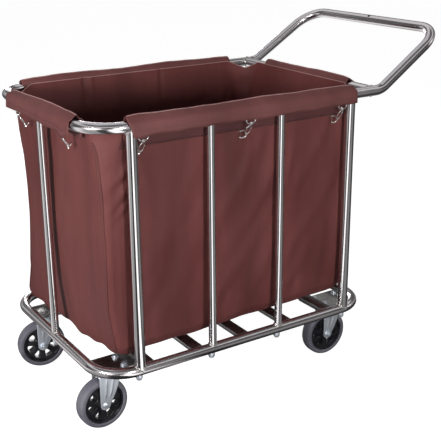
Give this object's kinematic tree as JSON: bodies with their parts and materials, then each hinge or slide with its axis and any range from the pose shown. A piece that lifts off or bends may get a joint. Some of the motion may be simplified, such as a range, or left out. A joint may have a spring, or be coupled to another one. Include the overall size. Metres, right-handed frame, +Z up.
{
  "type": "linen trolley",
  "caption": "Stainless tube trolley with a slanted push handle and swivel casters, carrying an open-topped hanging cloth bag for linen.",
  "frame": {"origin": "under the middle of the object's bounding box, on the floor", "axes": "+X towards the push handle, which is the rear; -Y to the left of somebody who pushes and faces -X; +Z up"},
  "size_m": [1.032, 0.5732, 0.8767],
  "materials": {
    "stainless": "polished stainless tube, soft vertical streaks",
    "zinc": "bright blue zinc plate",
    "chrome": "nickel plated wire",
    "tyre": "matt grey moulded rubber",
    "black_plastic": "moulded black plastic",
    "cloth": "coated woven polyester cloth, mid brown"
  },
  "bodies": {
    "trolley": {"base_ring": "stainless", "top_rail": "stainless", "rail_cross_tube": "stainless", "corner_post_front_left": "stainless", "side_post_front_left": "stainless", "corner_post_rear_left": "stainless", "side_post_rear_left": "stainless", "corner_post_front_right": "stainless", "side_post_front_right": "stainless", "corner_post_rear_right": "stainless", "side_post_rear_right": "stainless", "end_post_front": "stainless", "end_post_rear": "stainless", "base_crossbar_1": "stainless", "base_crossbar_2": "stainless", "base_crossbar_3": "stainless", "base_crossbar_4": "stainless", "base_crossbar_5": "stainless", "mount_plate_front_left": "stainless", "front_left_caster_plate": "zinc", "mount_plate_rear_left": "stainless", "rear_left_caster_plate": "zinc", "mount_plate_front_right": "stainless", "front_right_caster_plate": "zinc", "mount_plate_rear_right": "stainless", "rear_right_caster_plate": "zinc", "linen_bag": "cloth", "snap_hook_left_1": "chrome", "snap_hook_left_2": "chrome", "snap_hook_left_3": "chrome", "snap_hook_right_1": "chrome", "snap_hook_right_2": "chrome", "snap_hook_right_3": "chrome", "snap_hook_front_1": "chrome", "snap_hook_front_2": "chrome"},
    "front_left_fork": {"front_left_caster_fork": "zinc", "front_left_axle_bolt": "zinc"},
    "front_left_wheel": {"front_left_wheel_hub": "black_plastic", "front_left_tyre": "tyre"},
    "rear_left_fork": {"rear_left_caster_fork": "zinc", "rear_left_axle_bolt": "zinc"},
    "rear_left_wheel": {"rear_left_wheel_hub": "black_plastic", "rear_left_tyre": "tyre"},
    "front_right_fork": {"front_right_caster_fork": "zinc", "front_right_axle_bolt": "zinc"},
    "front_right_wheel": {"front_right_wheel_hub": "black_plastic", "front_right_tyre": "tyre"},
    "rear_right_fork": {"rear_right_caster_fork": "zinc", "rear_right_axle_bolt": "zinc"},
    "rear_right_wheel": {"rear_right_wheel_hub": "black_plastic", "rear_right_tyre": "tyre"},
    "snap_gate_left_1": {"snap_hook_left_1_gate": "chrome"},
    "snap_gate_left_2": {"snap_hook_left_2_gate": "chrome"},
    "snap_gate_left_3": {"snap_hook_left_3_gate": "chrome"},
    "snap_gate_right_1": {"snap_hook_right_1_gate": "chrome"},
    "snap_gate_right_2": {"snap_hook_right_2_gate": "chrome"},
    "snap_gate_right_3": {"snap_hook_right_3_gate": "chrome"},
    "snap_gate_front_1": {"snap_hook_front_1_gate": "chrome"},
    "snap_gate_front_2": {"snap_hook_front_2_gate": "chrome"}
  },
  "joints": [
    {"name": "front_left_swivel", "type": "hinge", "parent": "trolley", "child": "front_left_fork", "pos_m": [-0.4357, -0.181, 0.135], "axis": [0, 0, 1], "continuous": true},
    {"name": "front_left_roll", "type": "hinge", "parent": "front_left_fork", "child": "front_left_wheel", "pos_m": [-0.45319, -0.18161, 0.0625], "axis": [-0.0349, 0.9994, 0], "continuous": true},
    {"name": "rear_left_swivel", "type": "hinge", "parent": "trolley", "child": "rear_left_fork", "pos_m": [0.2343, -0.181, 0.135], "axis": [0, 0, 1], "continuous": true},
    {"name": "rear_left_roll", "type": "hinge", "parent": "rear_left_fork", "child": "rear_left_wheel", "pos_m": [0.2168, -0.18069, 0.0625], "axis": [0.0175, 0.9998, 0], "continuous": true},
    {"name": "front_right_swivel", "type": "hinge", "parent": "trolley", "child": "front_right_fork", "pos_m": [-0.4357, 0.181, 0.135], "axis": [0, 0, 1], "continuous": true},
    {"name": "front_right_roll", "type": "hinge", "parent": "front_right_fork", "child": "front_right_wheel", "pos_m": [-0.45303, 0.18344, 0.0625], "axis": [0.1392, 0.9903, 0], "continuous": true},
    {"name": "rear_right_swivel", "type": "hinge", "parent": "trolley", "child": "rear_right_fork", "pos_m": [0.2343, 0.181, 0.135], "axis": [0, 0, 1], "continuous": true},
    {"name": "rear_right_roll", "type": "hinge", "parent": "rear_right_fork", "child": "rear_right_wheel", "pos_m": [0.2168, 0.181, 0.0625], "axis": [0, 1, 0], "continuous": true},
    {"name": "snap_gate_left_1_open", "type": "hinge", "parent": "trolley", "child": "snap_gate_left_1", "pos_m": [-0.3662, -0.27475, 0.69206], "axis": [0, 0.829, 0.5592], "range_deg": [0, 28], "stiffness_Nm_per_rad": 0.0008},
    {"name": "snap_gate_left_2_open", "type": "hinge", "parent": "trolley", "child": "snap_gate_left_2", "pos_m": [-0.0932, -0.27475, 0.69206], "axis": [0, 0.829, 0.5592], "range_deg": [0, 28], "stiffness_Nm_per_rad": 0.0008},
    {"name": "snap_gate_left_3_open", "type": "hinge", "parent": "trolley", "child": "snap_gate_left_3", "pos_m": [0.1738, -0.27475, 0.69206], "axis": [0, 0.829, 0.5592], "range_deg": [0, 28], "stiffness_Nm_per_rad": 0.0008},
    {"name": "snap_gate_right_1_open", "type": "hinge", "parent": "trolley", "child": "snap_gate_right_1", "pos_m": [-0.3772, 0.27475, 0.69206], "axis": [0, -0.829, 0.5592], "range_deg": [0, 28], "stiffness_Nm_per_rad": 0.0008},
    {"name": "snap_gate_right_2_open", "type": "hinge", "parent": "trolley", "child": "snap_gate_right_2", "pos_m": [-0.1042, 0.27475, 0.69206], "axis": [0, -0.829, 0.5592], "range_deg": [0, 28], "stiffness_Nm_per_rad": 0.0008},
    {"name": "snap_gate_right_3_open", "type": "hinge", "parent": "trolley", "child": "snap_gate_right_3", "pos_m": [0.1628, 0.27475, 0.69206], "axis": [0, -0.829, 0.5592], "range_deg": [0, 28], "stiffness_Nm_per_rad": 0.0008},
    {"name": "snap_gate_front_1_open", "type": "hinge", "parent": "trolley", "child": "snap_gate_front_1", "pos_m": [-0.48845, -0.1465, 0.69206], "axis": [0.829, 0, 0.5592], "range_deg": [0, 28], "stiffness_Nm_per_rad": 0.0008},
    {"name": "snap_gate_front_2_open", "type": "hinge", "parent": "trolley", "child": "snap_gate_front_2", "pos_m": [-0.48845, 0.0975, 0.69206], "axis": [0.829, 0, 0.5592], "range_deg": [0, 28], "stiffness_Nm_per_rad": 0.0008}
  ]
}
